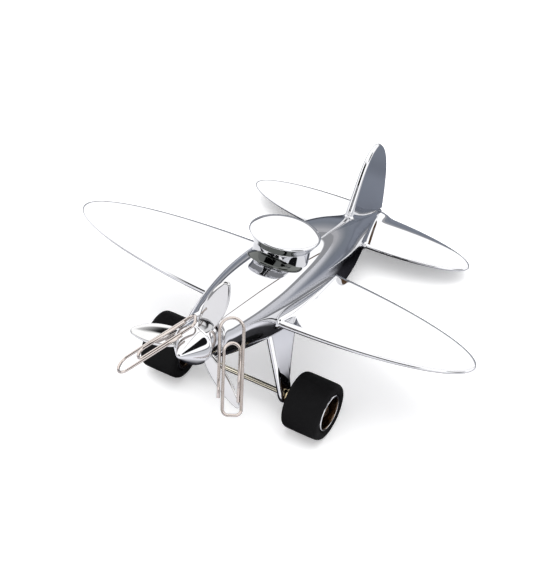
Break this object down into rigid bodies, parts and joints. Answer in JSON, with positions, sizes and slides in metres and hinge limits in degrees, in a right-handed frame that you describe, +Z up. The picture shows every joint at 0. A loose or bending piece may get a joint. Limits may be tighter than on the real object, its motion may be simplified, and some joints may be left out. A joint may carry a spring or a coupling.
{
  "type": "model monoplane paper clip holder",
  "caption": "Chromed desk model of a low-wing tail-dragger monoplane with a free-turning propeller on a magnetic hub that holds paper clips, turning wheels and a peaked cap.",
  "frame": {"origin": "on the desk, under the middle of the whole object's box, propeller tip to tail and wing tip to wing tip", "axes": "+X towards the port wing tip, along the span; +Y towards the tail; +Z up off the desk. The model stands on its two wheels and the ground flat under its tail, nose up."},
  "size_m": [0.155, 0.1542, 0.0799],
  "materials": {
    "chrome_fuselage": "mirror-polished chrome plate on a cast metal body",
    "chrome_wing": "mirror-polished chrome plate",
    "chrome_tail": "mirror-polished chrome plate",
    "chrome_leg": "mirror-polished chrome plate",
    "chrome_cap": "mirror-polished chrome plate",
    "chrome_rim": "mirror-polished chrome plate",
    "chrome_propeller": "mirror-polished chrome plate",
    "dowel_steel": "ground steel, hidden pins and shafts",
    "bearing_brass": "turned brass, unplated",
    "magnet_nickel": "nickel-plated ring magnet",
    "clip_wire": "drawn nickel-plated wire, slightly warm in tone",
    "tyre_rubber": "moulded matt black rubber"
  },
  "bodies": {
    "airframe": {"fuselage": "chrome_fuselage", "wing_port": "chrome_wing", "wing_starboard": "chrome_wing", "wing_dowel_front": "dowel_steel", "wing_dowel_rear": "dowel_steel", "tailplane_port": "chrome_tail", "tailplane_starboard": "chrome_tail", "tailplane_dowel": "dowel_steel", "fin": "chrome_tail", "fin_dowel_front": "dowel_steel", "fin_dowel_rear": "dowel_steel", "leg_port": "chrome_leg", "leg_starboard": "chrome_leg", "leg_dowel_port": "dowel_steel", "leg_dowel_starboard": "dowel_steel", "axle": "dowel_steel", "axle_spacer_port": "bearing_brass", "axle_spacer_starboard": "bearing_brass", "axle_cap_port": "bearing_brass", "axle_cap_starboard": "bearing_brass", "nose_bush": "bearing_brass", "cap_crown": "chrome_cap", "cap_band": "chrome_cap", "cap_visor": "chrome_cap", "cap_screw": "dowel_steel"},
    "propeller": {"spinner": "chrome_propeller", "prop_hub": "chrome_propeller", "magnet": "magnet_nickel", "blade_1": "chrome_propeller", "blade_2": "chrome_propeller", "blade_3": "chrome_propeller", "prop_shaft": "dowel_steel", "snap_ring": "dowel_steel"},
    "wheel_port": {"tyre_port": "tyre_rubber", "wheel_rim_port": "chrome_rim", "wheel_bush_port": "bearing_brass"},
    "wheel_starboard": {"tyre_starboard": "tyre_rubber", "wheel_rim_starboard": "chrome_rim", "wheel_bush_starboard": "bearing_brass"},
    "paper_clip_port": {"paper_clip_port": "clip_wire"},
    "paper_clip_starboard": {"paper_clip_starboard": "clip_wire"}
  },
  "joints": [
    {"name": "propeller_spin", "type": "hinge", "parent": "airframe", "child": "propeller", "pos_m": [0, -0.05628, 0.05611], "axis": [0, 0.9361, -0.3518], "continuous": true},
    {"name": "wheel_port_spin", "type": "hinge", "parent": "airframe", "child": "wheel_port", "pos_m": [0.0282, -0.02847, 0.01051], "axis": [1, 0, 0], "continuous": true},
    {"name": "wheel_starboard_spin", "type": "hinge", "parent": "airframe", "child": "wheel_starboard", "pos_m": [-0.0282, -0.02847, 0.01051], "axis": [1, 0, 0], "continuous": true},
    {"name": "paper_clip_port_lift", "type": "slide", "parent": "propeller", "child": "paper_clip_port", "axis": [0.3229, -0.5397, 0.7774], "range_m": [0, 0.06]},
    {"name": "paper_clip_starboard_lift", "type": "slide", "parent": "propeller", "child": "paper_clip_starboard", "axis": [-0.6122, -0.1323, 0.7796], "range_m": [0, 0.06]}
  ]
}
